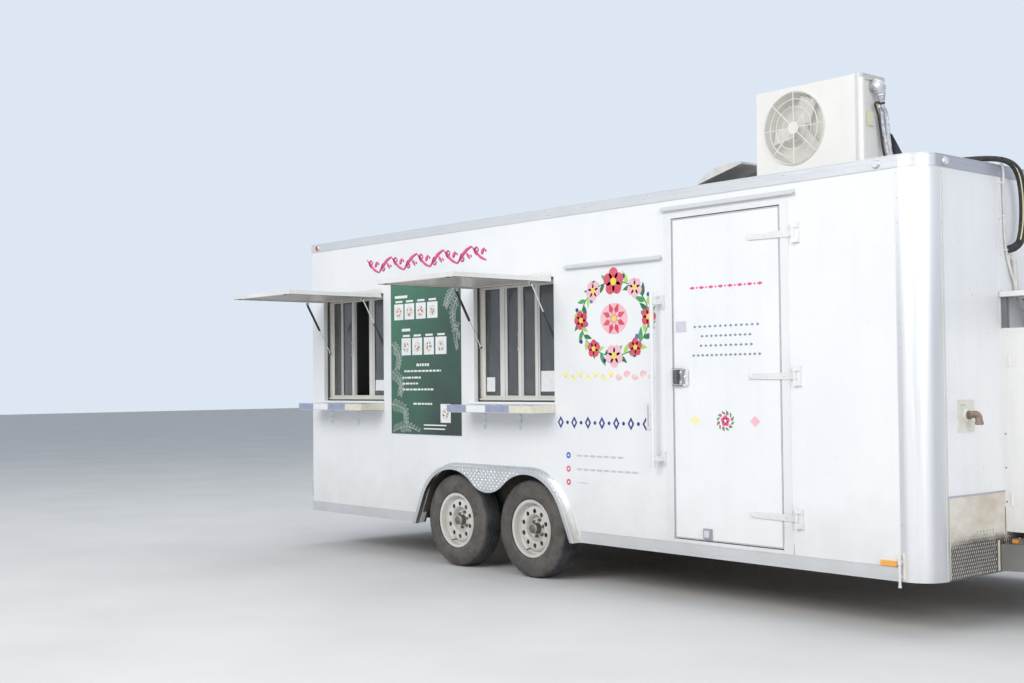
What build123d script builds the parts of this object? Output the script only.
"""Food concession trailer: a tandem-axle box trailer with two serving windows.

Frame: +X points forward to the hitch, +Y to the street side, +Z up. The origin is on
the ground, on the centre line, midway between the two axles. All sizes are millimetres.
The curb side, with the serving windows and the entry door, faces -Y.
"""
from build123d import *
from math import atan2, cos, degrees, hypot, pi, radians, sin, tan
import os

# Body box
body_length = 6096.0
body_width = 2460.0
body_bottom = 295.0
body_top = 2625.0
axle_setback = 3633.0        # front wall to the point midway between the axles
wall_t = 60.0
corner_r = 157.0
roof_t = 25.0
deck_t = 20.0
deck_top = 402.0
skin_gap = 0.3               # clearance between a lining and the face it seats against

# Frame under the floor
rail_in = 245.0              # side of the body to the middle of a long rail
rail_w = 51.0
rail_h = 76.0
tube_wall = 4.0
cross_count = 10
cross_w = 40.0
cross_h = 60.0
cross_web = 5.0
cross_end = 100.0            # first and last crossmember in from the ends of the deck

# Trim rails on the body
trim_t = 6.0
top_rail_h = 64.0
top_flange = 45.0
bottom_rail_h = 80.0
post_skin = 2.0
post_flange = 25.0
guard_h = 458.0
guard_t = 3.0

# Running gear
axle_spacing = 858.0
tyre_r = 350.0
tyre_w = 205.0
wheel_in = 74.5              # side of the body to the middle of the tyre
rim_r = 208.0
hub_r = 45.0
spindle_r = 18.0
spindle_clear = 0.3
axle_tube = 60.0
arm_t = 28.0
arm_reach = 134.0
well_depth = 218.0
well_t = 3.0

# Fenders
fender_out = 65.0            # side of the body to the fender's face
fender_t = 3.0
fender_r = 420.0             # outer arc about each wheel centre
fender_lip_r = 392.0         # opening in the face plate about each wheel centre
fender_dip_z = 588.0         # lowest point of the face plate between the wheels
fender_leg_deg = 25.0
fender_flange = 20.0
arch_clear = 8.0             # the hole in the wall inside the fender

# Serving windows, from rear to front, by centre back from the front wall
window_w = 894.0
window_h = 888.0
window_sill = 1256.0
window_depth = 77.0          # skin to the face of the sliding window
window_frame_t = 14.0
window_frame_d = 62.0
window_back = [("rear", 5465.0), ("front", 3397.0)]
window_flange = 30.0         # lap of the frame on the wall's inner face
sash_rear_w = 42.0           # opening's edges to the sash's inner edges
sash_front_w = 36.0
sash_low_h = 46.0
sash_high_h = 44.0
stile_d = 22.0
glass_t = 5.0

# Awnings and their gas struts
awning_gap = 6.0
awning_t = 24.0
awning_rim_t = 32.0
awning_rim_w = 30.0
hinge_out = 8.0
hinge_up = 4.0
knuckle_r = 5.0
knuckle_count = 7
knuckle_gap = 1.0
leaf_t = 3.0
hinge_pin_r = 2.5
pin_clear = 0.3
strut_in = 24.0
strut_top_reach = 182.0      # from the hinge line to the strut's upper ball, awning open
strut_top_drop = 56.0
strut_low_depth = 50.0
strut_low_z = 1665.0
strut_r = 9.5
strut_bore = 5.2
rod_r = 4.6
cylinder_len = 262.0
rod_insert = 38.0
eye_r = 8.0
eye_w = 8.0
strut_pin_r = 3.5
stud_r = 6.0

# Shelves
shelf_w = 945.0
shelf_d = 230.0
shelf_t = 55.0
shelf_top = 1238.0
shelf_back = 20.0            # middle of a shelf behind the middle of its window
shelf_bracket_x = [-303.0, 103.0]
bracket_w = 24.0
bracket_drop = 130.0
bracket_leg_t = 6.0
bracket_arm_t = 8.0
bracket_arm_in = 40.0        # end of a bracket's arm behind the shelf's edge

# Menu board and drip caps
board_rear = 4905.0          # front wall to the board's rear edge
board_w = 905.0
board_bottom = 995.0
board_h = 1210.0
board_t = 6.0
cap_out = 26.0
cap_h = 24.0
cap_lip = 6.0
cap_t = 3.0
# Caps as (rear end and front end back from the front wall, height)
cap_spans = [(2824.0, 1912.0, 2192.0), (1909.0, 848.0, 2498.0)]

# Entry door
door_back = 1824.0           # front wall to the door's rear edge
door_w = 853.0
door_bottom = 402.0
door_h = 2033.0
door_gap = 7.0
door_t = 44.0
door_frame_w = 62.0
door_frame_t = 4.0
door_hinge_off = 108.0       # front edge of the door to its hinge pins
door_hinge_out = 14.0
strap_z = [590.0, 1423.0, 2265.0]
strap_len = 345.0
strap_h = 46.0
strap_tip_r = 16.0
strap_t = 6.0
hinge_plate_h = 118.0
latch_w = 84.0
latch_h = 109.0
latch_t = 26.0
latch_z = 1369.0
hasp_r = 5.5
hasp_reach = 38.0             # latch to the outside of its hasp
door_catch_in = 248.0        # rear edge of the door to the catch at its foot
door_foot_h = 62.0           # plates at the feet of the door's frame strips
door_foot_t = 3.0

# Grab rail
grab_bar_back = 1958.0       # front wall to the rail's upright bar
grab_bar_r = 14.0
grab_out = 58.0
grab_z = (838.0, 1972.0)
grab_arm_z = (900.0, 1910.0)
grab_plate_h = 96.0
grab_catch_back = 2050.0     # front wall to the catch beside the folded rail
grab_catch_w = 36.0
grab_catch_t = 22.0
grab_catch_z = (1090.0, 1258.0)

# Rear doors
rear_post = 88.0
rear_post_w = 75.0
rear_door_t = 44.0
rear_door_gap = 7.0
rear_door_head = 2480.0
rear_meet_gap = 8.0
rear_hinge_in = 25.0
rear_strap_len = 313.0
rear_hinge_out = 14.0
rear_strap_z = [620.0, 1440.0, 2260.0]

# Tongue
tongue_len = 1300.0          # front wall to the ball
tongue_rail_h = 152.0
tongue_rail_w = 51.0
tongue_rail_y = 483.0        # rail centre at the front wall
tongue_tip_y = 40.0
ball_socket_r = 29.9
ball_z = 425.0
deck_plank_t = 30.0
runner_h = 38.0
box_depth = 620.0
box_half_w = 450.0
box_panel_top = 1685.0
box_roof = 1895.0
box_t = 20.0
box_gap = 6.0
jack_out = 1067.0            # front wall to the jack
jack_tube_r = 28.6
jack_head = 830.0
crank_out = 90.0
crank_h = 148.0
grip_len = 100.0
plate_t = 8.0

# Roof equipment
cond_back = 1256.0           # front wall to the unit's rear end
cond_w = 776.0
cond_h = 520.0
cond_d = 240.0
cond_in = 150.0              # side of the body to the unit's front face
cond_lift = 20.0
cond_edge_r = 14.0
cond_recess = 18.0           # depth of the recess in the unit's front end
cond_rim = 28.0
stay_reach = 75.0
stay_h = 150.0
stay_t = 6.0
fan_off = 296.0              # rear end of the unit to the fan's shaft
fan_up = 290.0               # roof to the fan's shaft
fan_r = 213.0
throat_d = 110.0
throat_wedges = 8
fan_ring_t = 6.0
fan_ring_w = 12.0
wire_r = 2.5
spoke_r = 3.5
boss_r = 38.0
guard_rings = 4
guard_spokes = 8
vent_back = 1883.0
vent_in = 750.0
vent_size = 370.0
vent_h = 110.0
vent_wall = 6.0
vent_lid_edge = 14.0
vent_lid_h = 50.0
vent_lid_t = 4.0
vent_open_deg = 14.0

# Lamps and service inlet
lamp_r = 19.0
lamp_t = 14.0
lamp_back = 292.0            # front wall to the corner lamps on the sides
lamp_in = 200.0              # sides to the corner lamps on the front wall
side_lamp_back = 304.0
side_lamp_l = 104.0
side_lamp_h = 28.0
side_lamp_t = 16.0
rear_lamp_in = 99.0
rear_lamp_pitch = 180.0
tail_lamp_z = 480.0
inlet_in = 380.0
inlet_z = 1192.0
elbow_r = 22.0
elbow_reach = 84.0           # front wall to the middle of the elbow's drop
elbow_bend = 46.0
elbow_drop = 62.0
stub_back = 179.0            # front wall to the drain pipe on the curb side
stub_out = 20.0
stub_r = 8.0
stub_top = 440.0
stub_bottom = 264.0

# Hoses
line_set_r = 24.0
drain_r = 6.0
vent_hose_r = 15.0
gland_h = 8.0
hose_end_gap = 0.3
hose_notch = 100.0
notch_off = 805.0            # condenser's face to the middle of the notch in the box's roof

front_x = axle_setback
rear_x = axle_setback - body_length
half_w = body_width / 2
inner_y = half_w - wall_t
inner_front = front_x - wall_t
body_rear = rear_x + rear_post
wall_top = body_top - roof_t
deck_bottom = deck_top - deck_t
window_head = window_sill + window_h
fender_y = half_w + fender_out
wall_arch_r = fender_r - arch_clear
rail_y = half_w - rail_in
wheel_y = half_w - wheel_in
well_y = half_w - well_depth
window_x = [(name, front_x - back) for name, back in window_back]
door_x0 = front_x - door_back
door_hinge_x = door_x0 + door_w + door_hinge_off
rear_hinge_y = half_w - rear_hinge_in
jack_x = front_x + jack_out
cond_x0 = front_x - cond_back
cond_y = cond_in - half_w
fan_x = cond_x0 + fan_off
fan_z = body_top + fan_up
vent_x = front_x - vent_back
vent_y = vent_in - half_w
notch_y = cond_y + notch_off

parts = {}


def block(x0, x1, y0, y1, z0, z1):
    """Box from its corner values."""
    return Pos((x0 + x1) / 2, (y0 + y1) / 2, (z0 + z1) / 2) * Box(x1 - x0, y1 - y0, z1 - z0)


def rect(a0, a1, b0, b1):
    """Rectangle face from its corner values."""
    return Pos((a0 + a1) / 2, (b0 + b1) / 2) * Rectangle(a1 - a0, b1 - b0)


def pipe(points, r, bend):
    """Round bar or pipe along a route with bends of one radius."""
    path = FilletPolyline(*points, radius=bend)
    return sweep(Plane(path @ 0, z_dir=path % 0) * Circle(r), path=path)


def slab_x(face, x0, x1):
    """A face drawn in (Y, Z), made solid from x0 to x1."""
    return extrude(Plane.YZ.offset(x0) * face, x1 - x0)


def slab_y(face, y0, y1):
    """A face drawn in (X, Z), made solid from y0 to y1."""
    return extrude(Plane.XZ.offset(-y1) * face, y1 - y0)


def slab_z(face, z0, z1):
    """A face drawn in (X, Y), made solid from z0 to z1."""
    return extrude(Plane.XY.offset(z0) * face, z1 - z0)


def rod_x(x0, x1, y, z, r):
    """Round bar along X."""
    return Pos((x0 + x1) / 2, y, z) * Rot(0, 90, 0) * Cylinder(r, x1 - x0)


def rod_y(y0, y1, x, z, r):
    """Round bar along Y."""
    return Pos(x, (y0 + y1) / 2, z) * Rot(90, 0, 0) * Cylinder(r, y1 - y0)


def rod_z(z0, z1, x, y, r):
    """Upright round bar."""
    return Pos(x, y, (z0 + z1) / 2) * Cylinder(r, z1 - z0)


def other_side(shape):
    """The same piece on the street side."""
    return mirror(shape, about=Plane.XZ)


def pair(shape):
    """A curb-side piece and its street-side twin, as one node."""
    return Compound(children=[shape, other_side(shape)])


def group(shapes):
    """Several solids of one node."""
    solids = [s for shape in shapes for s in shape.solids()]
    return Compound(children=solids)


def arch_face(r, leg_bottom, shift=0.0):
    """Tandem wheel arch: an arc about each wheel, a flat top and leaning legs."""
    arc_x = axle_spacing / 2
    radius = r + shift
    lean = radians(fender_leg_deg)
    leg_x = arc_x + radius * cos(lean)
    leg_z = tyre_r + radius * sin(lean)
    foot_x = leg_x + (leg_z - leg_bottom) * tan(lean)
    mid = radians((90 + fender_leg_deg) / 2)
    mid_x = arc_x + radius * cos(mid)
    mid_z = tyre_r + radius * sin(mid)
    top_z = tyre_r + radius
    edge = [
        Line((-foot_x, leg_bottom), (-leg_x, leg_z)),
        ThreePointArc((-leg_x, leg_z), (-mid_x, mid_z), (-arc_x, top_z)),
        Line((-arc_x, top_z), (arc_x, top_z)),
        ThreePointArc((arc_x, top_z), (mid_x, mid_z), (leg_x, leg_z)),
        Line((leg_x, leg_z), (foot_x, leg_bottom)),
        Line((foot_x, leg_bottom), (-foot_x, leg_bottom)),
    ]
    return make_face(Curve() + edge)


def straight_arch(r, leg_bottom):
    """Corners of the folded arch round each wheel, from its rear foot to its front foot."""
    arc_x = axle_spacing / 2
    half_fold = radians(90 - fender_leg_deg) / 4
    lean = radians(fender_leg_deg)
    foot_x = arc_x + (r - (leg_bottom - tyre_r) * sin(lean)) / cos(lean)
    corners = [(foot_x, leg_bottom)]
    for turn in (lean + half_fold, lean + 3 * half_fold):
        reach = r / cos(half_fold)
        corners.append((arc_x + reach * cos(turn), tyre_r + reach * sin(turn)))
    return [(-x, z) for x, z in corners] + corners[::-1]


def straight_arch_face(r, leg_bottom):
    return make_face(Polyline(straight_arch(r, leg_bottom), close=True))


def fender_foot():
    """How far the fender's wall flange reaches fore and aft at its foot."""
    lean = radians(fender_leg_deg)
    radius = fender_r + fender_flange
    return axle_spacing / 2 + radius / cos(lean) + (tyre_r - body_bottom) * tan(lean)


def fender_opening():
    """Teardrop opening of the fender's face plate."""
    arc_x = axle_spacing / 2
    reach = fender_dip_z - tyre_r
    dip_r = (arc_x ** 2 + reach ** 2 - fender_lip_r ** 2) / (2 * (fender_lip_r - reach))
    dip_z = fender_dip_z + dip_r
    below = hanging_face(dip_r, dip_z)
    wheels = arch_face(fender_lip_r, body_bottom - fender_t)
    return wheels - below


def hanging_face(dip_r, dip_z):
    """The part of the face plate that hangs between the two wheel openings."""
    arc_x = axle_spacing / 2
    share = fender_lip_r / (fender_lip_r + dip_r)
    touch_x = arc_x * (1 - share)
    touch_z = tyre_r + (dip_z - tyre_r) * share
    top_z = tyre_r + fender_lip_r
    lift = atan2(touch_z - tyre_r, arc_x - touch_x)
    mid = (lift + radians(90)) / 2
    mid_x = arc_x - fender_lip_r * cos(mid)
    mid_z = tyre_r + fender_lip_r * sin(mid)
    edge = [
        Line((-arc_x, top_z), (arc_x, top_z)),
        ThreePointArc((arc_x, top_z), (mid_x, mid_z), (touch_x, touch_z)),
        ThreePointArc((touch_x, touch_z), (0, fender_dip_z), (-touch_x, touch_z)),
        ThreePointArc((-touch_x, touch_z), (-mid_x, mid_z), (-arc_x, top_z)),
    ]
    return make_face(Curve() + edge)


def under_frame():
    """Two long rails under the floor and the channels between and outside them."""
    rail_bottom = deck_bottom - rail_h
    tube = Rectangle(rail_w, rail_h) - Rectangle(rail_w - 2 * tube_wall, rail_h - 2 * tube_wall)
    face = Pos(-rail_y, rail_bottom + rail_h / 2) * tube
    parts["main_rails"] = pair(slab_x(face, body_rear, inner_front))

    z0 = deck_bottom - cross_h
    outer = rect(0, cross_w, z0, deck_bottom)
    inner = rect(cross_web, cross_w + 1, z0 + cross_web, deck_bottom - cross_web)
    channel = outer - inner
    well_reach = fender_foot() + cross_w
    first = body_rear + cross_end
    step = (inner_front - cross_end - cross_w - first) / (cross_count - 1)
    spans = []
    for i in range(cross_count):
        x = first + i * step
        beam = Pos(x, 0) * channel
        spans.append(slab_y(beam, -rail_y + rail_w / 2, rail_y - rail_w / 2))
        if abs(x + cross_w / 2) > well_reach:
            stub = slab_y(beam, -inner_y, -rail_y - rail_w / 2)
            spans.extend([stub, other_side(stub)])
    parts["crossmembers"] = group(spans)


def floor():
    """Plywood deck, cut round the wheel wells and the rounded front corners."""
    plan = rect(body_rear, inner_front, -inner_y, inner_y)
    corners = [v for v in plan.vertices() if v.X > 0]
    plan = fillet(corners, corner_r - wall_t)
    deck = slab_z(plan, deck_bottom, deck_top)
    hole_face = straight_arch_face(wall_arch_r, deck_bottom - 1)
    hole = slab_y(hole_face, -half_w, -well_y + skin_gap)
    parts["floor_deck"] = deck - hole - other_side(hole)


def arch_panels(x_end):
    """Convex faces that fill a side wall round its wheel arch, up to the arch's top."""
    foot_rear, low_rear, high_rear, high, low, foot = straight_arch(wall_arch_r, body_bottom)
    top = tyre_r + wall_arch_r
    corners = [
        [(body_rear, body_bottom), foot_rear, low_rear, (low_rear[0], top), (body_rear, top)],
        [low_rear, high_rear, (low_rear[0], top)],
        [low, (low[0], top), high],
        [foot, (x_end, body_bottom), (x_end, top), (low[0], top), low],
    ]
    return [make_face(Polyline(c, close=True)) for c in corners]


def side_wall(windows, door=None):
    """A side wall in convex panels round its arch, the windows' (x0, x1) and a door (x0, x1, z0, z1)."""
    front_end = front_x - corner_r
    x_end = door[0] if door else front_end
    top = tyre_r + wall_arch_r
    faces = arch_panels(x_end)
    if windows:
        edges = [body_rear] + [x for span in windows for x in span] + [x_end]
        faces.append(rect(body_rear, x_end, top, window_sill))
        faces += [rect(a, b, window_sill, window_head) for a, b in zip(edges[::2], edges[1::2])]
        faces.append(rect(body_rear, x_end, window_head, wall_top))
    else:
        faces.append(rect(body_rear, x_end, top, wall_top))
    if door:
        x0, x1, z0, z1 = door
        faces.append(rect(x0, x1, body_bottom, z0))
        faces.append(rect(x0, x1, z1, wall_top))
        faces.append(rect(x1, front_end, body_bottom, wall_top))
    return group([slab_y(face, -half_w, -inner_y) for face in faces])


def walls():
    windows = [(x - window_w / 2, x + window_w / 2) for name, x in window_x]
    door = (
        door_x0 - door_gap, door_x0 + door_w + door_gap,
        door_bottom - door_gap, door_bottom + door_h + door_gap,
    )
    parts["curb_wall"] = side_wall(windows, door)
    parts["street_wall"] = other_side(side_wall([]))
    span = half_w - corner_r
    parts["front_wall"] = block(inner_front, front_x, -span, span, body_bottom, wall_top)


def corner_posts():
    """Bright rounded front corners, lapped over the skin on both sides."""
    cx = front_x - corner_r
    cy = -(half_w - corner_r)
    ring = Circle(corner_r + post_skin) - Circle(corner_r - wall_t)
    quadrant = rect(0, corner_r + post_skin, -corner_r - post_skin, 0)
    rail_low = body_top - top_rail_h
    post = slab_z(Pos(cx, cy) * (ring & quadrant), body_bottom, rail_low)
    core = Circle(corner_r) - Circle(corner_r - wall_t)
    post += slab_z(Pos(cx, cy) * (core & quadrant), rail_low, wall_top)
    side_lap = block(cx - post_flange, cx, -half_w - post_skin, -half_w, body_bottom, rail_low)
    front_lap = block(front_x, front_x + post_skin, cy, cy + post_flange, body_bottom, rail_low)
    parts["corner_posts"] = pair(post + side_lap + front_lap)


def rear_frame():
    """Rear posts, header and sill round the double doors."""
    face = rect(-half_w, half_w, body_bottom, body_top)
    inside = half_w - rear_post_w
    face -= rect(-inside, inside, deck_top, rear_door_head)
    parts["rear_frame"] = slab_x(face, rear_x, body_rear)


def body_plan(grow):
    """Outline of the body in plan, with rounded front corners."""
    plan = rect(rear_x - grow, front_x + grow, -half_w - grow, half_w + grow)
    corners = [v for v in plan.vertices() if v.X > 0]
    return fillet(corners, corner_r + grow)


def roof_and_trim():
    plan = body_plan(0) - rect(rear_x - 1, body_rear, -body_width, body_width)
    throat = vent_size / 2 - vent_wall
    plan -= rect(vent_x - throat, vent_x + throat, vent_y - throat, vent_y + throat)
    parts["roof"] = slab_z(plan, wall_top, body_top)

    band = body_plan(trim_t) - body_plan(0)
    rail_low = body_top - top_rail_h
    cap = body_plan(trim_t) - body_plan(-top_flange)
    ring = slab_z(band, rail_low, body_top) + slab_z(cap, body_top, body_top + trim_t)
    parts["top_rail"] = ring

    foot = fender_foot() + skin_gap
    z1 = body_bottom + bottom_rail_h
    y0 = -half_w - trim_t
    ends = [(rear_x, -foot), (foot, front_x - corner_r - post_flange)]
    rails = [block(x0, x1, y0, -half_w, body_bottom, z1) for x0, x1 in ends]
    parts["bottom_rail"] = group(rails + [other_side(r) for r in rails])


def stone_guard():
    span = half_w - corner_r - post_flange - 1
    z1 = body_bottom + guard_h
    parts["stone_guard"] = block(front_x, front_x + guard_t, -span, span, body_bottom, z1)


def wheel_wells():
    """Liner over each pair of wheels: five folded plates and an upright inner plate."""
    outer = straight_arch(wall_arch_r - skin_gap, deck_bottom)
    inner = straight_arch(wall_arch_r - skin_gap - well_t, deck_bottom)
    plates = []
    for i in range(len(outer) - 1):
        face = make_face(Polyline([outer[i], outer[i + 1], inner[i + 1], inner[i]], close=True))
        plates.append(slab_y(face, -half_w, -well_y))
    side = make_face(Polyline(inner, close=True))
    plates.append(slab_y(side, -well_y - well_t, -well_y))
    parts["wheel_wells"] = group(plates + [other_side(p) for p in plates])


def fenders():
    """Tandem fender: arched sheet, face plate with a teardrop, and a wall flange."""
    low = body_bottom - fender_t
    shell = slab_y(arch_face(fender_r, low), -fender_y, -half_w)
    room = slab_y(arch_face(fender_r, low - 1, -fender_t), -fender_y + fender_t, -half_w)
    opening = slab_y(fender_opening(), -fender_y - 1, -fender_y + fender_t + 1)
    flange_face = arch_face(fender_r + fender_flange, low) - arch_face(fender_r, low - 1, -fender_t)
    flange = slab_y(flange_face, -half_w - fender_t, -half_w)
    parts["fenders"] = pair(shell - room - opening + flange)


def torsion_axle(x):
    """Square axle tube under the rails, arms up to the spindles, and backing plates."""
    tube_z = deck_bottom - rail_h - axle_tube / 2
    tube_x = x + arm_reach
    arm_y = well_y + 6
    bar = Rectangle(axle_tube, axle_tube) - Rectangle(axle_tube - 10, axle_tube - 10)
    tube = slab_y(Pos(tube_x, tube_z) * bar, -arm_y, arm_y)
    run = hypot(arm_reach, tyre_r - tube_z)
    slope = degrees(atan2(tyre_r - tube_z, -arm_reach))
    link = Pos(run / 2, 0) * Rectangle(run, 46) + Circle(32) + Pos(run, 0) * Circle(30)
    arm = slab_y(Pos(tube_x, tube_z) * Rot(0, 0, slope) * link, -arm_y - arm_t, -arm_y)
    plate = rod_y(-wheel_y + 99, -wheel_y + 103, x, tyre_r, 130)
    stub = rod_y(-wheel_y - 30, -arm_y - arm_t / 2, x, tyre_r, spindle_r)
    root = rod_y(-wheel_y + 97, -arm_y - arm_t / 2, x, tyre_r, 30)
    side = arm + plate + stub + root
    return tube + side + other_side(side)


def wheel_profile(points):
    """Revolve (outward, radius) points about a wheel's axle, facing -Y."""
    ring = make_face(Polyline([(r, a) for a, r in points], close=True))
    solid = revolve(ring, Axis.Y)
    return Rot(180, 0, 0) * solid


def rim():
    """Fifteen-inch steel rim, disc with ten round holes, hub and drum."""
    barrel = [
        (86, 203), (83, rim_r), (78, rim_r), (75, 192), (40, 189), (30, 172), (-28, 172),
        (-38, 189), (-75, 192), (-78, rim_r), (-83, rim_r), (-86, 203),
        (-80, 187), (-41, 184), (-31, 167), (27, 167), (37, 184), (80, 187),
    ]
    disc = [
        (24, 168), (34, 168), (44, 158), (50, 144), (50, 104), (40, 94), (12, 84), (8, 78), (8, 40),
        (2, 40), (2, 82), (6, 88), (32, 98), (43, 107), (43, 142), (36, 152), (24, 163),
    ]
    hub_end = 74
    bore_end = 46
    hub = [
        (hub_end, 0), (hub_end, 26), (hub_end - 6, 34), (20, 38), (8, 62), (2, 82), (-8, 82),
        (-10, hub_r), (-34, hub_r + 15), (-36, 128), (-44, 135), (-92, 135), (-92, 125),
        (-48, 125), (-48, hub_r), (-60, hub_r - 3), (-60, spindle_r + spindle_clear),
        (bore_end, spindle_r + spindle_clear), (bore_end, 0),
    ]
    body = wheel_profile(barrel) + wheel_profile(disc) + wheel_profile(hub)
    for i in range(10):
        a = radians(36 * i)
        body -= rod_y(-60, -20, 124 * sin(a), 124 * cos(a), 17.5)
    return body


def tyre():
    """Trailer tyre seated on the rim, open towards it."""
    half = tyre_w / 2
    points = [
        (-74.5, 192.6), (-77.6, rim_r + 0.4), (-89, rim_r + 4), (-half + 4, 236), (-half, 270),
        (-half + 5, 310), (-84, 338), (-72, tyre_r - 2), (-40, tyre_r), (40, tyre_r),
        (72, tyre_r - 2), (84, 338), (half - 5, 310), (half, 270), (half - 4, 236),
        (89, rim_r + 4), (77.6, rim_r + 0.4), (74.5, 192.6),
        (66, 192.6), (70, 214), (half - 12, 262), (half - 16, 304), (66, 326), (-66, 326),
        (-half + 16, 304), (-half + 12, 262), (-70, 214), (-66, 192.6),
    ]
    return wheel_profile(points)


def running_gear():
    one_rim = rim()
    one_tyre = tyre()
    places = [("front", axle_spacing / 2), ("rear", -axle_spacing / 2)]
    for end, x in places:
        parts[f"axle_{end}"] = torsion_axle(x)
        spot = Pos(x, -wheel_y, tyre_r)
        for side in ("curb", "street"):
            wheel_piece = spot * one_rim
            tyre_piece = spot * one_tyre
            if side == "street":
                wheel_piece = other_side(wheel_piece)
                tyre_piece = other_side(tyre_piece)
            parts[f"wheel_{side}_{end}"] = wheel_piece
            parts[f"tyre_{side}_{end}"] = tyre_piece


def frame_cells(x0, x1):
    """Boxes that part a window's frame into its straight bars."""
    out = 2 * window_flange
    rear = x0 + sash_rear_w
    front = x1 - sash_front_w
    low = window_sill + window_frame_t
    rail = window_sill + sash_low_h
    high = window_head - sash_high_h
    spans = [
        (x0 - out, x1 + out, window_sill - out, low), (x0 - out, x1 + out, high, window_head + out),
        (x0 - out, rear, low, high), (front, x1 + out, low, high),
        (rear, front, low, rail), (rear, front, rail, high),
    ]
    return [slab_y(rect(*span), -half_w, 0) for span in spans]


def serving_windows():
    """Jamb liners, sliding sashes and glass, with one sash slid open at the rear."""
    frames = []
    panes = []
    depth_in = window_depth + window_frame_d
    # Stiles as (centre, width) from the opening's rear edge
    stile_sets = {
        "rear": [(168, 24), (340, 38), (614.5, 75)],
        "front": [(256, 80), (449, 56), (632, 50)],
    }
    open_bays = {"rear": 2, "front": None}
    for name, xc in window_x:
        x0 = xc - window_w / 2
        x1 = xc + window_w / 2
        y_skin = -half_w
        liner = rect(x0, x1, window_sill, window_head)
        t = window_frame_t
        liner -= rect(x0 + t, x1 - t, window_sill + t, window_head - t)
        box_frame = slab_y(liner, -inner_y, y_skin + depth_in)
        flange = rect(x0 - window_flange, x1 + window_flange,
                      window_sill - window_flange, window_head + window_flange)
        flange -= rect(x0 + t, x1 - t, window_sill + t, window_head - t)
        box_frame += slab_y(flange, -inner_y, -inner_y + 4)
        y_sash = y_skin + window_depth
        sash = rect(x0 + t, x1 - t, window_sill + t, window_head - t)
        sash -= rect(x0 + sash_rear_w, x1 - sash_front_w,
                     window_sill + sash_low_h, window_head - sash_high_h)
        for centre, width in stile_sets[name]:
            left = x0 + centre - width / 2
            sash += rect(left, left + width, window_sill + 30, window_head - 30)
        box_frame += slab_y(sash, y_sash, y_sash + stile_d)
        frames.extend(box_frame & cell for cell in frame_cells(x0, x1))
        edges = [sash_rear_w] + [c for c, w in stile_sets[name]] + [window_w - sash_front_w]
        for i in range(len(edges) - 1):
            if i == open_bays[name]:
                continue
            left = x0 + edges[i] + (stile_sets[name][i - 1][1] / 2 if i else 0)
            is_last = i == len(edges) - 2
            right = x0 + edges[i + 1] - (0 if is_last else stile_sets[name][i][1] / 2)
            pane = rect(left, right, window_sill + sash_low_h, window_head - sash_high_h)
            mid = y_sash + stile_d / 2
            panes.append(slab_y(pane, mid - glass_t / 2, mid + glass_t / 2))
    parts["window_frames"] = group(frames)
    parts["window_glass"] = group(panes)


def awning(xc):
    """Lift-up awning door, drawn open and level."""
    x0 = xc - window_w / 2 + awning_gap
    x1 = xc + window_w / 2 - awning_gap
    hinge_y = -half_w - hinge_out
    hinge_z = window_head + hinge_up
    top = hinge_z - hinge_out
    y1 = hinge_y - hinge_up - awning_gap
    y0 = y1 - (window_h - 2 * awning_gap)
    panel = block(x0, x1, y0, y1, top - awning_t, top)
    rim_face = rect(x0, x1, y0, y1)
    rim_face -= rect(x0 + awning_rim_w, x1 - awning_rim_w, y0 + awning_rim_w, y1 - awning_rim_w)
    panel += slab_z(rim_face, top - awning_rim_t, top)
    shape = panel
    for k0, k1 in knuckle_spans(xc, 0):
        shape += rod_x(k0, k1, hinge_y, hinge_z, knuckle_r)
        shape += block(k0, k1, y1 - 24, hinge_y, top, top + leaf_t)
        shape -= rod_x(k0 - 1, k1 + 1, hinge_y, hinge_z, hinge_pin_r + pin_clear)
    lug_y = hinge_y - strut_top_reach
    lug_z = hinge_z - strut_top_drop
    lug_in = awning_rim_w + 1
    lug_t = 5
    for side, edge in ((1, x0), (-1, x1)):
        a = edge + side * lug_in
        b = a + side * lug_t
        eye_x = edge + side * (strut_in - awning_gap)
        pin_end = eye_x - side * eye_w / 2
        shape += block(min(a, b), max(a, b), lug_y - 9, lug_y + 9, lug_z - 9, top - awning_t)
        shape += rod_x(min(pin_end, a), max(pin_end, a), lug_y, lug_z, strut_pin_r)
    return shape


def knuckle_spans(xc, turn):
    """X spans of the hinge knuckles on the awning (turn 0) or on the wall (turn 1)."""
    x0 = xc - window_w / 2 + 20
    pitch = (window_w - 40) / knuckle_count
    return [
        (x0 + i * pitch + knuckle_gap / 2, x0 + (i + 1) * pitch - knuckle_gap / 2)
        for i in range(knuckle_count) if i % 2 == turn
    ]


def awning_wall_hinge(xc):
    """Wall leaf, knuckles and pin of an awning's long hinge."""
    hinge_y = -half_w - hinge_out
    hinge_z = window_head + hinge_up
    x0 = xc - window_w / 2 + 20
    x1 = xc + window_w / 2 - 20
    leaf_top = hinge_z + 34
    shape = block(x0, x1, -half_w - leaf_t, -half_w, hinge_z + knuckle_r + 2, leaf_top)
    for k0, k1 in knuckle_spans(xc, 1):
        shape += rod_x(k0, k1, hinge_y, hinge_z, knuckle_r)
        shape += block(k0, k1, hinge_y, -half_w, hinge_z + knuckle_r - leaf_t, hinge_z + knuckle_r)
        shape += block(k0, k1, -half_w - leaf_t, -half_w, hinge_z + knuckle_r - leaf_t, leaf_top)
    return shape + rod_x(x0, x1, hinge_y, hinge_z, hinge_pin_r)


def strut_line():
    """Upper ball, unit direction down the strut and length, with the awning open."""
    top_y = -half_w - hinge_out - strut_top_reach
    top_z = window_head + hinge_up - strut_top_drop
    low_y = -half_w + strut_low_depth
    length = hypot(low_y - top_y, strut_low_z - top_z)
    return top_y, top_z, low_y, length


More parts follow.
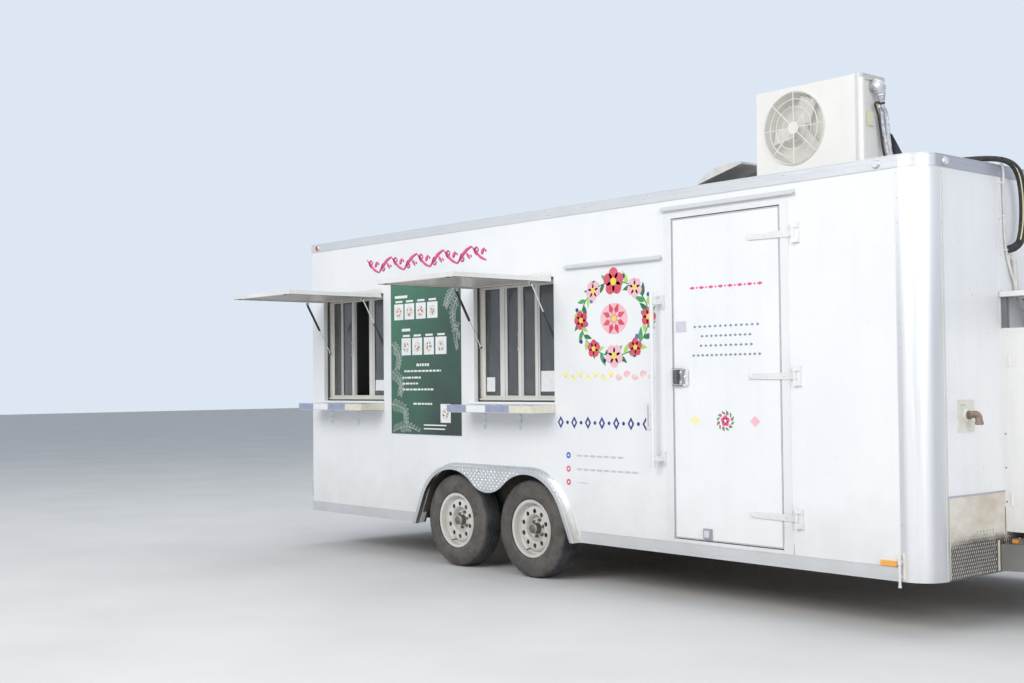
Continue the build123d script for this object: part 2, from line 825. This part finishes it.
def strut_piece(kind, x, from_top):
    """Cylinder or rod of a gas strut in the plane x, pinned at its top or at its foot."""
    top_y, top_z, low_y, length = strut_line()
    lean = degrees(atan2(low_y - top_y, top_z - strut_low_z))
    eye = Rot(0, 90, 0) * Cylinder(eye_r, eye_w)
    hole = Rot(0, 90, 0) * Cylinder(strut_pin_r + pin_clear, eye_w + 2)
    if kind == "cylinder":
        start = eye_r - 1
        tube = Pos(0, 0, -(start + cylinder_len) / 2) * Cylinder(strut_r, cylinder_len - start)
        bore_top = 22
        bore_end = cylinder_len + 2
        bore = Pos(0, 0, -(bore_top + bore_end) / 2) * Cylinder(strut_bore, bore_end - bore_top)
        piece = eye + tube - bore - hole
    else:
        rod_len = length - cylinder_len + rod_insert
        piece = eye + Pos(0, 0, -(eye_r + rod_len) / 2) * Cylinder(rod_r, rod_len - eye_r + 2) - hole
    if from_top:
        return Pos(x, top_y, top_z) * Rot(lean, 0, 0) * piece
    return Pos(x, low_y, strut_low_z) * Rot(lean + 180, 0, 0) * piece


def awnings():
    for name, xc in window_x:
        x_rear = xc - window_w / 2 + strut_in
        x_front = xc + window_w / 2 - strut_in
        parts[f"awning_{name}"] = awning(xc)
        parts[f"strut_upper_{name}"] = group([
            strut_piece("cylinder", x_rear, True), strut_piece("rod", x_front, True)])
        parts[f"strut_lower_{name}"] = group([
            strut_piece("rod", x_rear, False), strut_piece("cylinder", x_front, False)])


def strut_studs():
    """Ball studs on the window jambs that the struts push against."""
    studs = []
    for name, xc in window_x:
        for side in (-1, 1):
            wall_x = xc + side * window_w / 2
            end_x = wall_x - side * (strut_in - eye_w / 2 - 0.5)
            low, high = min(wall_x, end_x), max(wall_x, end_x)
            y = -half_w + strut_low_depth
            studs.append(rod_x(low, high, y, strut_low_z, stud_r))
        studs.append(awning_wall_hinge(xc))
    return studs


def shelves():
    """Serving shelves with a folded edge, each on two wall brackets."""
    pieces = []
    for name, window_centre in window_x:
        xc = window_centre - shelf_back
        y0 = -half_w - shelf_d
        x0 = xc - shelf_w / 2
        x1 = xc + shelf_w / 2
        tray = block(x0, x1, y0, -half_w, shelf_top - shelf_t, shelf_top)
        tray -= block(x0 + 3, x1 - 3, y0 + 3, -half_w - 3, shelf_top - shelf_t - 1, shelf_top - 3)
        for dx in shelf_bracket_x:
            x = xc + dx
            z1 = shelf_top - 3
            z0 = shelf_top - shelf_t - bracket_drop
            y_leg = -half_w - bracket_leg_t
            y_arm = y0 + bracket_arm_in
            leg = block(x - bracket_w / 2, x + bracket_w / 2, y_leg, -half_w, z0, z1)
            arm = block(x - bracket_w / 2, x + bracket_w / 2, y_arm, -half_w, z1 - bracket_arm_t, z1)
            tray += leg + arm
        pieces.append(tray)
    parts["shelves"] = group(pieces)


def menu_and_caps():
    """Blank menu board and the drip caps over the openings."""
    board_x = front_x - board_rear
    board_top = board_bottom + board_h
    parts["menu_board"] = block(
        board_x, board_x + board_w, -half_w - board_t, -half_w, board_bottom, board_top)
    pieces = []
    for back0, back1, z in cap_spans:
        edge = -half_w - cap_out
        profile = make_face(Polyline([
            (-half_w, z), (-half_w, z + cap_h), (-half_w - cap_t, z + cap_h),
            (edge, z + cap_t + 5), (edge, z - cap_lip), (edge + cap_t, z - cap_lip),
            (edge + cap_t, z + 5)], close=True))
        pieces.append(slab_x(profile, front_x - back0, front_x - back1))
    parts["drip_caps"] = group(pieces)


def strap_face(pin_x, z, length):
    """Outline of a strap, tapered from its pin to a round tip."""
    tip_x = pin_x - length + strap_tip_r
    face = make_face(Polyline([
        (pin_x, z - strap_h / 2), (tip_x, z - strap_tip_r),
        (tip_x, z + strap_tip_r), (pin_x, z + strap_h / 2)], close=True))
    return face + Pos(tip_x, z) * Circle(strap_tip_r)


def strap_hinge(pin_x, z, length, skin_y, out):
    """Strap that lies on a door and rolls round an upright pin."""
    strap = slab_y(strap_face(pin_x, z, length), skin_y - strap_t, skin_y)
    web = block(pin_x - 8, pin_x + 8, skin_y - out, skin_y - strap_t, z - strap_h / 2, z + strap_h / 2)
    roll = rod_z(z - strap_h / 2, z + strap_h / 2, pin_x, skin_y - out, 11)
    return strap + web + roll - rod_z(z - strap_h, z + strap_h, pin_x, skin_y - out, 6.3)


def hinge_plate(pin_x, z, skin_y, out):
    """Plate on the wall with two ears that hold the hinge pin."""
    ear_gap = strap_h / 2 + 5
    plate = block(pin_x + 14, pin_x + 40, skin_y - 5, -half_w, z - hinge_plate_h / 2, z + hinge_plate_h / 2)
    pin = rod_z(z - hinge_plate_h / 2, z + hinge_plate_h / 2, pin_x, skin_y - out, 6)
    for side in (-1, 1):
        z0 = z + side * ear_gap
        z1 = z + side * hinge_plate_h / 2
        low, high = min(z0, z1), max(z0, z1)
        ear = rod_z(low, high, pin_x, skin_y - out, 11)
        ear += block(pin_x, pin_x + 40, skin_y - out + 1, -half_w, low, high)
        plate += ear
    return plate + pin


def entry_door():
    """Side entry door, its frame strips, strap hinges and latch."""
    x0, x1 = door_x0, door_x0 + door_w
    z0, z1 = door_bottom, door_bottom + door_h
    parts["entry_door"] = block(x0, x1, -half_w, -half_w + door_t, z0, z1)

    g = door_gap
    w = door_frame_w
    face = rect(x0 - g - w, x1 + g + w, body_bottom + bottom_rail_h, z1 + g + 22)
    face -= rect(x0 - g, x1 + g, z0 - g, z1 + g)
    frame = slab_y(face, -half_w - door_frame_t, -half_w)
    stop = rect(x0 - g, x1 + g, z0 - g, z1 + g) - rect(x0 + 18, x1 - 18, z0 + 18, z1 - 18)
    frame += slab_y(stop, -half_w + door_t + 6, -inner_y)
    for z in strap_z:
        frame += hinge_plate(door_hinge_x, z, -half_w - door_frame_t, door_hinge_out)
    foot_y = -half_w - door_frame_t
    foot_z = body_bottom + bottom_rail_h
    for foot_x in (x0 - g - w - 8, x1 + g):
        frame += block(foot_x, foot_x + w + 8, foot_y - door_foot_t, foot_y, foot_z, foot_z + door_foot_h)
    parts["entry_door_frame"] = frame

    straps = [strap_hinge(door_hinge_x, z, strap_len, -half_w - door_frame_t, door_hinge_out)
              for z in strap_z]
    pieces = []
    for z, strap in zip(strap_z, straps):
        pad = slab_y(strap_face(door_hinge_x, z, strap_len), -half_w - door_frame_t, -half_w)
        pad -= block(x1 - 10, door_hinge_x + 1, -half_w - door_frame_t - 1, -half_w + 1,
                     z - strap_h, z + strap_h)
        over_frame = block(x1 - 10, door_hinge_x + 60, -half_w - door_frame_t - 1.5, -half_w + 1,
                           z - strap_h, z + strap_h)
        pieces.append(strap - over_frame + pad)
    latch_top = latch_z + latch_h
    latch = block(x0 + 8, x0 + 8 + latch_w, -half_w - latch_t, -half_w, latch_z, latch_top)
    lever_y = -half_w - latch_t
    lever = block(x0 + 46, x0 + 64, lever_y - 18, lever_y, latch_z + 11, latch_top - 12)
    hasp_x = x0 + 8 + latch_w
    hasp_y = -half_w - latch_t / 2
    hasp = pipe([
        (hasp_x - 4, hasp_y, latch_z + 6), (hasp_x + hasp_reach - hasp_r, hasp_y, latch_z - 6),
        (hasp_x + hasp_reach - hasp_r, hasp_y, latch_top + 6), (hasp_x - 4, hasp_y, latch_top - 6),
    ], hasp_r, 16)
    pieces.append(latch + lever + hasp)
    step_x = x0 + door_catch_in
    pieces.append(block(step_x, step_x + 58, -half_w - 22, -half_w, z0 + 12, z0 + 75))
    parts["entry_door_hardware"] = group(pieces)


def grab_rail():
    """Upright fold-out grab rail beside the entry door."""
    y = -half_w - grab_out
    bar_x = front_x - grab_bar_back
    plate_x = door_x0 - door_gap - door_frame_w - 4
    rail = rod_z(grab_z[0], grab_z[1], bar_x, y, grab_bar_r)
    half_plate = grab_plate_h / 2
    for z in grab_arm_z:
        rail += block(bar_x, plate_x - 14, y - 9, y + 9, z - 12, z + 12)
        rail += block(plate_x - 50, plate_x, -half_w - 6, -half_w, z - half_plate, z + half_plate)
        rail += block(plate_x - 36, plate_x - 14, y - 9, -half_w - 6, z - 16, z + 16)
    catch_x = front_x - grab_catch_back
    catch = block(catch_x, catch_x + grab_catch_w, -half_w - grab_catch_t, -half_w, *grab_catch_z)
    parts["grab_rail"] = group([rail, catch])


def rear_doors():
    """Double barn doors with strap hinges and upright lock bars."""
    inside = half_w - rear_post_w
    z0 = deck_top + rear_door_gap
    z1 = rear_door_head - rear_door_gap
    leaf = block(rear_x, rear_x + rear_door_t, -inside + rear_door_gap, -rear_meet_gap / 2, z0, z1)
    leaf -= block(rear_x - 1, rear_x + 4, -inside + 70, -rear_meet_gap / 2 - 60, z0 + 60, z1 - 60)
    parts["rear_door_curb"] = leaf
    parts["rear_door_street"] = other_side(leaf)

    hardware = []
    pin_y = -rear_hinge_y
    pin_x = rear_x - rear_hinge_out
    for z in rear_strap_z:
        strap_y = -inside + rear_door_gap
        strap = block(rear_x - strap_t, rear_x, strap_y, strap_y + rear_strap_len,
                      z - strap_h / 2, z + strap_h / 2)
        bridge = block(rear_x - strap_t - 2, rear_x - 2, pin_y, -inside + rear_door_gap,
                       z - strap_h / 2, z + strap_h / 2)
        roll = rod_z(z - strap_h / 2, z + strap_h / 2, pin_x, pin_y, 11)
        hardware.append(strap + bridge + roll - rod_z(z - strap_h, z + strap_h, pin_x, pin_y, 6.3))
    bar_y = -170.0
    bar_x = rear_x - 30
    bar = rod_z(z0 + 8, z1 - 8, bar_x, bar_y, 13)
    for z in (z0 + 60, 900, 1500, 2100, z1 - 60):
        bar += block(bar_x - 4, rear_x, bar_y - 34, bar_y + 34, z - 22, z + 22)
    bar += block(bar_x - 26, bar_x - 16, bar_y - 320, bar_y + 20, 1170, 1206)
    bar += block(bar_x - 18, bar_x, bar_y - 14, bar_y + 14, 1170, 1206)
    bar += block(bar_x - 18, rear_x, bar_y - 300, bar_y - 240, 1160, 1216)
    hardware.append(bar)
    curb = group(hardware)
    parts["rear_door_hardware_curb"] = curb
    parts["rear_door_hardware_street"] = other_side(curb)

    pins = []
    for z in rear_strap_z:
        pin = rod_z(z - hinge_plate_h / 2, z + hinge_plate_h / 2, pin_x, pin_y, 6)
        for side in (-1, 1):
            a = z + side * (strap_h / 2 + 5)
            b = z + side * hinge_plate_h / 2
            low, high = min(a, b), max(a, b)
            pin += rod_z(low, high, pin_x, pin_y, 11)
            pin += block(pin_x, rear_x, pin_y - 11, pin_y + 11, low, high)
        pins.append(pin)
    parts["rear_hinge_pins"] = group(pins + [other_side(p) for p in pins])


def tongue():
    """A-frame, coupler, jack, plank deck and the vented box that stands on it."""
    tip_x = front_x + tongue_len
    run = tip_x - 90 - front_x
    lean = atan2(tongue_rail_y - tongue_tip_y, run)
    z0 = body_bottom + 5
    z1 = z0 + tongue_rail_h
    length = hypot(run, tongue_rail_y - tongue_tip_y) + 60
    back = Rectangle(length, tongue_rail_w)
    hollow = Rectangle(length + 10, tongue_rail_w - 10)
    rail_bar = Pos(0, 0, (z0 + z1) / 2) * extrude(back, tongue_rail_h / 2, both=True)
    rail_bar -= Pos(0, 0, (z0 + z1) / 2) * extrude(hollow, tongue_rail_h / 2 - 5, both=True)
    centre_x = (front_x + front_x + run) / 2
    centre_y = -(tongue_rail_y + tongue_tip_y) / 2
    rail_piece = Pos(centre_x, centre_y, 0) * Rot(0, 0, degrees(lean)) * rail_bar
    rail_piece -= block(front_x - 500, front_x + guard_t, -900, 900, 0, 900)
    rail_piece -= block(-100, tip_x, 0, 400, 0, 900)
    frame = rail_piece + other_side(rail_piece)
    cross_x = jack_x - 170
    half = tongue_rail_y - (cross_x - front_x) * tan(lean)
    frame += block(cross_x, cross_x + 40, -half, half, z0 + 20, z1 - 20)
    plate_end = jack_x + 48
    plate = make_face(Polyline([
        (jack_x - 110, -150), (plate_end, -100), (plate_end, 100), (jack_x - 110, 150)], close=True))
    plate -= Pos(jack_x, 0) * Circle(jack_tube_r + skin_gap)
    frame += slab_z(plate, z1, z1 + plate_t)
    parts["tongue_frame"] = frame

    top = z1 + plate_t
    nose = front_x + run + 45
    housing = slab_z(make_face(Polyline([
        (plate_end + 1, -98), (tip_x - 40, -48), (tip_x + 44, -48), (tip_x + 44, 48),
        (tip_x - 40, 48), (plate_end + 1, 98)], close=True)), z1, top)
    dome = rod_z(ball_z - 22, top, tip_x, 0, 48)
    web = block(nose, tip_x - 20, -36, 36, ball_z - 22, top)
    cheek_x = (plate_end + nose) / 2
    cheek_y = -(tongue_tip_y + (front_x + run - cheek_x) * tan(lean))
    cheek_y -= (tongue_rail_w / 2 + skin_gap + 3) / cos(lean)
    cheek = Pos(cheek_x, cheek_y, z1 - (tongue_rail_h - 30) / 2) * Rot(0, 0, degrees(lean)) * Box(
        (nose - plate_end) * 0.95, 6, tongue_rail_h - 30)
    lever = block(tip_x - 96, tip_x - 8, -8, 8, top, top + 40)
    socket = Pos(tip_x, 0, ball_z) * Sphere(ball_socket_r)
    mouth = rod_z(ball_z - 60, ball_z, tip_x, 0, ball_socket_r)
    parts["coupler"] = housing + dome + web + cheek + other_side(cheek) + lever - socket - mouth

    foot = slab_z(Pos(jack_x, 0) * Rectangle(150, 150), 0, 6) + rod_z(6, 330, jack_x, 0, 22)
    tube = rod_z(150, jack_head, jack_x, 0, jack_tube_r)
    head = block(jack_x - 36, jack_x + 36, -36, 36, jack_head, jack_head + 60)
    collar = rod_z(top, top + 12, jack_x, 0, 44)
    crank_x = jack_x + crank_out
    crank_z = jack_head + 32
    crank = rod_x(jack_x + 36, crank_x + 6, 0, crank_z, 8)
    crank += rod_z(crank_z, crank_z + crank_h, crank_x, 0, 8)
    grip = rod_x(crank_x, crank_x + grip_len, 0, crank_z + crank_h - 6, 12)
    parts["tongue_jack"] = foot + tube + head + collar + crank + grip

    planks = []
    for x in (front_x + 40, front_x + box_depth - 130):
        planks.append(block(x, x + 120, -box_half_w, box_half_w, z1, z1 + deck_plank_t))
    runners = []
    for y in (-250, 250):
        runners.append(block(front_x + 30, front_x + box_depth - 10, y - 20, y + 20,
                             z1 + deck_plank_t, z1 + deck_plank_t + runner_h))
    shape = planks[0] + planks[1] + runners[0] + runners[1]
    parts["tongue_deck"] = shape

    utility_box(z1 + deck_plank_t + runner_h)


def utility_box(z0):
    """Vented box on the tongue: panels below, an open band on corner posts, a roof plate."""
    x0 = front_x + box_gap
    x1 = x0 + box_depth
    y = box_half_w
    t = box_t
    box = block(x0, x1, -y, y, z0, box_panel_top)
    box -= block(x0 + t, x1 - t, -y + t, y - t, z0 + t, box_panel_top + 1)
    for px in (x0, x1 - 30):
        for py in (-y, y - 30):
            box += block(px, px + 30, py, py + 30, box_panel_top, box_roof - 30)
    box += block(x0, x1 + 25, -y - 25, y + 25, box_roof - 30, box_roof)
    box -= block(x0 - 1, x0 + hose_notch, notch_y - hose_notch / 2, notch_y + hose_notch / 2,
                 box_roof - 31, box_roof + 1)
    slot_w = box_half_w - 90
    for i in range(7):
        z = z0 + 120 + i * 46
        for yc in (-box_half_w / 2, box_half_w / 2):
            box -= block(x1 - t - 1, x1 + 1, yc - slot_w / 2, yc + slot_w / 2, z, z + 16)
    parts["utility_box"] = box


def lid_face(half, inset):
    """Vaulted section of the vent lid from its hinge, or its hollow where inset."""
    x0, x1 = inset, 2 * half - inset
    low = -1 if inset else 0
    edge = [
        Line((x0, low), (x0, vent_lid_edge - inset)),
        ThreePointArc((x0, vent_lid_edge - inset), (half, vent_lid_h - inset), (x1, vent_lid_edge - inset)),
        Line((x1, vent_lid_edge - inset), (x1, low)),
        Line((x1, low), (x0, low)),
    ]
    return make_face(Curve() + edge)


def round_edge(piece, x, y):
    """A condenser piece with its upright edge at (x, y) rounded."""
    edges = piece.edges().filter_by(Axis.Z)
    edges = [e for e in edges if abs(e.center().X - x) < 1 and abs(e.center().Y - y) < 1]
    return fillet(edges, cond_edge_r)


def fan_wedges():
    """Wedges about the fan's shaft, in (X, Z), so that each piece round it is nearly convex."""
    turn = 2 * pi / throat_wedges
    reach = cond_w + cond_h
    rays = [(fan_x + reach * cos(turn * (i + 0.5)), fan_z + reach * sin(turn * (i + 0.5)))
            for i in range(throat_wedges + 1)]
    return [make_face(Polyline([(fan_x, fan_z), a, b], close=True)) for a, b in zip(rays, rays[1:])]


def roof_equipment():
    """Condenser unit with its fan and grille, and a roof vent with its lid ajar."""
    x0, x1 = cond_x0, cond_x0 + cond_w
    y0, y1 = cond_y, cond_y + cond_d
    z0 = body_top + cond_lift
    z1 = z0 + cond_h
    y_back = y0 + throat_d
    x_end = x1 - cond_recess
    front = round_edge(block(x0, x_end, y0, y_back, z0, z1), x0, y0)
    front += rod_y(y0 - fan_ring_t, y0, fan_x, fan_z, fan_r + fan_ring_w)
    front -= rod_y(y0 - fan_ring_t - 1, y_back + 1, fan_x, fan_z, fan_r)
    body = round_edge(block(x0, x_end, y_back, y1, z0, z1), x0, y1)
    rim_face = rect(y0, y1, z0, z1) - rect(y0 + cond_rim, y1 - cond_rim, z0 - 1, z1 - cond_rim)
    rim_piece = slab_x(rim_face, x_end, x1)
    rim_piece = round_edge(round_edge(rim_piece, x1, y0), x1, y1)
    feet = [block(fx, fx + 40, y0 - 10, y1 + 20, body_top, z0) for fx in (x0 + 110, x1 - 150)]
    cover = block(x_end, x1 - 6, y0 + 64, y0 + 132, z0 + 224, z0 + 309)
    stay_face = make_face(Polyline([
        (x1 - 40, body_top), (x1 + stay_reach, body_top), (x1 + 8, body_top + stay_h),
        (x1 - 40, body_top + stay_h)], close=True))
    stay = slab_y(stay_face, y1, y1 + stay_t)
    wedges = [front & slab_y(wedge, y0 - fan_ring_t, y_back) for wedge in fan_wedges()]
    parts["condenser_case"] = group(wedges + [body, rim_piece, cover, stay] + feet)

    hub = rod_y(y0 + 40, y0 + 74, fan_x, fan_z, 48)
    for i in range(3):
        blade = Pos(0, 0, 118) * Rot(0, 0, 24) * Box(96, 5, 150)
        hub += Pos(fan_x, y0 + 57, fan_z) * Rot(0, 120 * i + 20, 0) * blade
    hub += rod_y(y0 + 74, y_back - 0.5, fan_x, fan_z, 8)
    parts["condenser_fan"] = hub

    guard_y = y0 - fan_ring_t - skin_gap - spoke_r
    guard_r = fan_r + fan_ring_w / 2
    bars = rod_y(guard_y - spoke_r - 1, guard_y + spoke_r - 1, fan_x, fan_z, boss_r)
    for i in range(1, guard_rings + 1):
        wire = Torus(boss_r + i * (guard_r - boss_r) / guard_rings, wire_r)
        bars += Pos(fan_x, guard_y, fan_z) * Rot(90, 0, 0) * wire
    for i in range(guard_spokes):
        spoke = Pos(0, 0, guard_r / 2) * Cylinder(spoke_r, guard_r)
        bars += Pos(fan_x, guard_y, fan_z) * Rot(0, 360 / guard_spokes * i, 0) * spoke
    parts["condenser_grille"] = bars

    s = vent_size / 2
    w = vent_wall
    lid_s = s + 14
    hinge_x = vent_x - lid_s
    hinge_z = body_top + vent_h + 8
    base = block(vent_x - s - 30, vent_x + s + 30, vent_y - s - 30, vent_y + s + 30, body_top, body_top + 4)
    base += block(vent_x - s, vent_x + s, vent_y - s, vent_y + s, body_top, body_top + vent_h)
    base -= block(vent_x - s + w, vent_x + s - w, vent_y - s + w, vent_y + s - w,
                  body_top - 1, body_top + vent_h + 1)
    for side in (-1, 1):
        y = vent_y + side * 120
        base += block(hinge_x - 8, vent_x - s, y - 6, y + 6, hinge_z - 40, hinge_z + 8)
        ends = sorted((y, vent_y + side * 94))
        base += rod_y(ends[0], ends[1], hinge_x, hinge_z, 4)
    parts["roof_vent"] = base

    lid = slab_y(lid_face(lid_s, 0), -lid_s, lid_s)
    lid -= slab_y(lid_face(lid_s, vent_lid_t), -lid_s + vent_lid_t, lid_s - vent_lid_t)
    lid -= block(-1, 12, -lid_s, lid_s, -1, 12) & (
        block(-1, 12, 112, 128, -1, 12) + block(-1, 12, -128, -112, -1, 12))
    for side in (-1, 1):
        lid += block(-8, 8, side * 103 - 5, side * 103 + 5, -8, 14)
        lid -= rod_y(side * 103 - 40, side * 103 + 40, 0, 0, 4 + pin_clear) & block(
            -20, 20, side * 103 - 12, side * 103 + 12, -20, 20)
    hinge = Pos(hinge_x, vent_y, hinge_z)
    parts["roof_vent_lid"] = hinge * Rot(0, -vent_open_deg, 0) * lid


def lamps():
    """Round clearance lamps on the top rail, side markers and tail lamps."""
    z = body_top - top_rail_h / 2
    y_rail = half_w + trim_t
    amber = [rod_y(-y_rail - lamp_t, -y_rail, front_x - lamp_back, z, lamp_r)]
    amber.append(other_side(amber[0]))
    for y in (lamp_in - half_w, half_w - lamp_in):
        amber.append(rod_x(front_x + trim_t, front_x + trim_t + lamp_t, y, z, lamp_r))
    side_x = front_x - side_lamp_back
    side_z = body_bottom + bottom_rail_h + 1
    side = block(side_x, side_x + side_lamp_l, -half_w - side_lamp_t, -half_w,
                 side_z, side_z + side_lamp_h)
    amber.extend([side, other_side(side)])
    parts["marker_lamps"] = group(amber)

    red = [rod_y(-y_rail - lamp_t, -y_rail, rear_x + rear_lamp_in, z, lamp_r)]
    red.append(other_side(red[0]))
    for y in (-rear_lamp_pitch, 0, rear_lamp_pitch):
        red.append(rod_x(rear_x - trim_t - lamp_t, rear_x - trim_t, y, z, lamp_r))
    for y in (-half_w + rear_post_w / 2, half_w - rear_post_w / 2):
        face = Pos(y, tail_lamp_z) * SlotOverall(160, 58, rotation=90)
        red.append(slab_x(face, rear_x - 22, rear_x))
    parts["tail_lamps"] = group(red)


def inlet():
    """Service plate with an elbow on the front wall."""
    y = inlet_in - half_w
    z = inlet_z
    plate = block(front_x, front_x + 4, y - 93, y + 86, z - 93, z + 88)
    drop_x = front_x + elbow_reach
    elbow = pipe([(front_x + 3, y, z), (drop_x, y, z), (drop_x, y, z - elbow_drop)], elbow_r, elbow_bend)
    collar = rod_x(front_x + 3, front_x + 16, y, z, elbow_r + 6)
    parts["power_inlet"] = group([plate + elbow + collar, drain_stub()])


def drain_stub():
    """Short drain pipe with a valve, clipped to the lap of the front corner post."""
    x = front_x - stub_back
    y = -half_w - stub_out
    stub = rod_z(stub_bottom, stub_top, x, y, stub_r)
    stub += rod_z(stub_bottom, stub_bottom + 7, x, y, 2 * stub_r)
    stub += rod_z(stub_top - 46, stub_top - 6, x, y, 1.8 * stub_r)
    stub += rod_x(x - 3 * stub_r, x + 3 * stub_r, y, stub_top, 5)
    return stub + block(x - stub_r, x + stub_r, y, -half_w - post_skin, stub_top - 36, stub_top - 16)


def hose(points, r):
    """Round hose along a hand-chosen route, with arcs as large as its runs allow."""
    corners = [Vector(*p) for p in points]
    runs = [b - a for a, b in zip(corners, corners[1:])]
    radii = [
        0.45 * min(a.length, b.length) / tan(radians(a.get_angle(b)) / 2)
        for a, b in zip(runs, runs[1:])
    ]
    path = FilletPolyline(*points, radius=radii)
    solid = sweep(Plane(path @ 0, z_dir=path % 0) * Circle(r), path=path)
    print("hose r", r, "bends", [round(b) for b in radii])
    print("hose volume", round(solid.volume), "section by length", round(pi * r * r * path.length))
    return solid


def route(points, x, y, z):
    """Points given from a corner of the object, as points of its frame."""
    return [(x + dx, y + dy, z + dz) for dx, dy, dz in points]


def hoses():
    """Line set from the condenser to the front wall, a thin drain hose and a thick hose."""
    # Line set, from the front wall's top edge beside the condenser (x, y, z): out of the
    # recess in its end, down, over the roof edge and into the wall
    line_points = [
        (cond_w - cond_back - cond_recess + hose_end_gap, 148, 466),
        (-472, 148, 466), (-453, 149, 451), (-449, 151, 424), (-456, 157, 374),
        (-452, 167, 300), (-448, 179, 215), (-444, 190, 145), (-438, 200, 88),
        (-416, 216, 49), (-372, 242, 28), (-300, 284, 25), (-203, 335, 25), (-113, 380, 26),
        (-43, 445, 33), (7, 520, 38), (45, 595, 35), (69, 660, 15),
        (79, 710, -27), (79, 745, -90), (77, 765, -165), (75, 772, -250),
        (75, 765, -340), (75, 735, -435), (57, 722.5, -463.5), (26, 715.3, -480),
        (hose_end_gap, 715.3, -480),
    ]
    parts["line_set"] = hose(route(line_points, front_x, cond_y, body_top), line_set_r)

    # Drain hose, from the same edge: up through the roof, over the edge and down the wall
    # to the box
    drain_points = [
        (-88, 635, gland_h + hose_end_gap),
        (-88, 635, 35), (-75, 636, 55), (-48, 638, 63), (-20, 640, 56),
        (4, 643, 37), (18, 647, 8), (21, 652, -25), (18, 657, -65),
        (13, 662, -115), (9, 666, -175), (7.5, 670, -240), (8, 668.5, -315),
        (7.5, 671, -390), (9, 678, -465), (12, 696, -540), (17, 723, -610),
        (22, 750, -665), (24, 762, -700),
        (24, 764, box_roof + hose_end_gap - body_top),
    ]
    gland_x = front_x + drain_points[0][0]
    gland_y = cond_y + drain_points[0][1]
    gland = rod_z(body_top, body_top + gland_h, gland_x, gland_y, 2 * drain_r)
    tube = hose(route(drain_points, front_x, cond_y, body_top), drain_r)
    parts["drain_hose"] = group([tube, gland])

    # Thick hose, from the wall at the height of the box's roof: out of the wall, through
    # the notch and onto the box's back panel
    vent_points = [
        (hose_end_gap, 750, 205),
        (26, 750, 205), (50, 754, 187), (59, 764, 153), (59, 778, 105),
        (60, 795, 50), (64, 812, -5), (73, 832, -65), (85, 858, -125),
        (95, 884, -180), (99, 904, -230), (89, 916, -265), (61, 922, -285),
        (box_gap + box_t + hose_end_gap, 922, -285),
    ]
    parts["vent_hose"] = hose(route(vent_points, front_x, cond_y, box_roof), vent_hose_r)


under_frame()
floor()
walls()
corner_posts()
rear_frame()
roof_and_trim()
stone_guard()
wheel_wells()
fenders()
running_gear()
serving_windows()
awnings()
parts["window_frames"] = group([parts["window_frames"]] + strut_studs())
shelves()
menu_and_caps()
entry_door()
grab_rail()
rear_doors()
tongue()
roof_equipment()
lamps()
inlet()
hoses()

os.makedirs("parts", exist_ok=True)
for node, shape in parts.items():
    export_step(shape, f"parts/{node}.step")
print(len(parts), "nodes")
